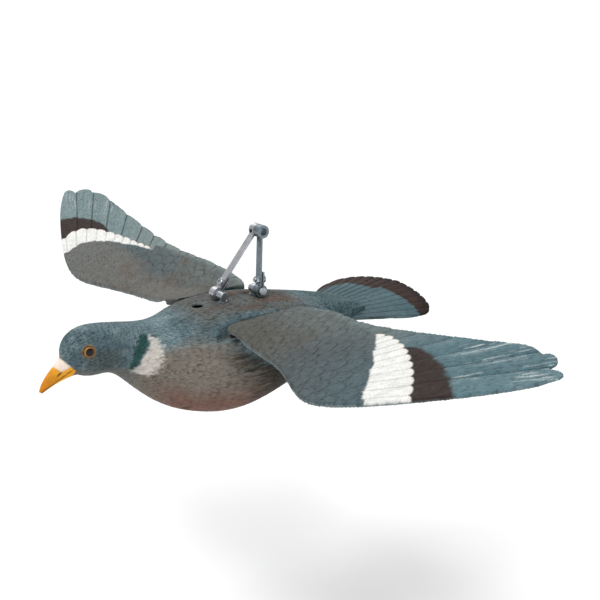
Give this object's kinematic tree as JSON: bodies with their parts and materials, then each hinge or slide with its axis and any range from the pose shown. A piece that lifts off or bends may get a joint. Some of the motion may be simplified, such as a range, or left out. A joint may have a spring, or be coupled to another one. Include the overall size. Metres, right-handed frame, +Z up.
{
  "type": "motion wing decoy",
  "caption": "Hollow moulded wood pigeon flying decoy with spread wings that flap on root hinges, and a folding two-leg steel bracket that clamps on a carousel arm.",
  "frame": {"origin": "centre of the bracket's arm bore, at the top of the two legs", "axes": "+Z up, the bird faces -X, its left wing is on -Y, the arm bore runs along Y"},
  "size_m": [0.35, 0.69, 0.1501],
  "materials": {
    "blue_grey_plastic": "hand-painted feathers, matt",
    "beige_plastic": "hand-painted breast, matt",
    "wing_plastic": "moulded feathers, painted bands, matt",
    "tail_plastic": "moulded feathers, painted end band, matt",
    "eye_gloss": "gloss, black pupil in an orange ring",
    "pin_steel": "bright",
    "black_steel": "blackened",
    "zinc_strip": "bright zinc plate",
    "zinc_hardware": "bright zinc plate"
  },
  "bodies": {
    "torso": {"back_shell": "blue_grey_plastic", "belly_screws": "black_steel", "belly_shell": "beige_plastic", "breast_screws": "black_steel", "front_backing_washer": "zinc_hardware", "front_foot_barrel": "zinc_hardware", "front_foot_collar": "zinc_hardware", "front_foot_stud": "zinc_hardware", "front_lock_nut": "zinc_hardware", "left_eye": "eye_gloss", "left_hinge_cap": "pin_steel", "left_hinge_pin": "pin_steel", "rear_backing_washer": "zinc_hardware", "rear_foot_barrel": "zinc_hardware", "rear_foot_collar": "zinc_hardware", "rear_foot_stud": "zinc_hardware", "rear_lock_nut": "zinc_hardware", "right_eye": "eye_gloss", "right_hinge_cap": "pin_steel", "right_hinge_pin": "pin_steel", "tail_fan": "tail_plastic", "tail_screws": "black_steel"},
    "left_wing": {"left_wing": "wing_plastic"},
    "right_wing": {"right_wing": "wing_plastic"},
    "front_leg": {"front_leg": "zinc_strip", "front_pinch_screw": "zinc_hardware", "front_pinch_nut": "zinc_hardware"},
    "rear_leg": {"rear_leg": "zinc_strip", "rear_pinch_screw": "zinc_hardware", "rear_pinch_nut": "zinc_hardware"},
    "set_screw": {"arm_set_screw": "black_steel"}
  },
  "joints": [
    {"name": "left_wing_flap", "type": "hinge", "parent": "torso", "child": "left_wing", "pos_m": [0, -0.043, -0.066], "axis": [-1, 0, 0], "range_deg": [0, 10]},
    {"name": "right_wing_flap", "type": "hinge", "parent": "torso", "child": "right_wing", "pos_m": [0, 0.043, -0.066], "axis": [1, 0, 0], "range_deg": [0, 10]},
    {"name": "front_leg_fold", "type": "hinge", "parent": "torso", "child": "front_leg", "pos_m": [-0.041, 0, -0.0471], "axis": [0, -1, 0], "range_deg": [0, 120]},
    {"name": "rear_leg_fold", "type": "hinge", "parent": "torso", "child": "rear_leg", "pos_m": [-0.0035, 0, -0.0501], "axis": [0, 1, 0], "range_deg": [0, 75]},
    {"name": "arm_set_screw_travel", "type": "slide", "parent": "front_leg", "child": "set_screw", "axis": [1, 0, 0], "range_m": [0, 0.0012]}
  ]
}
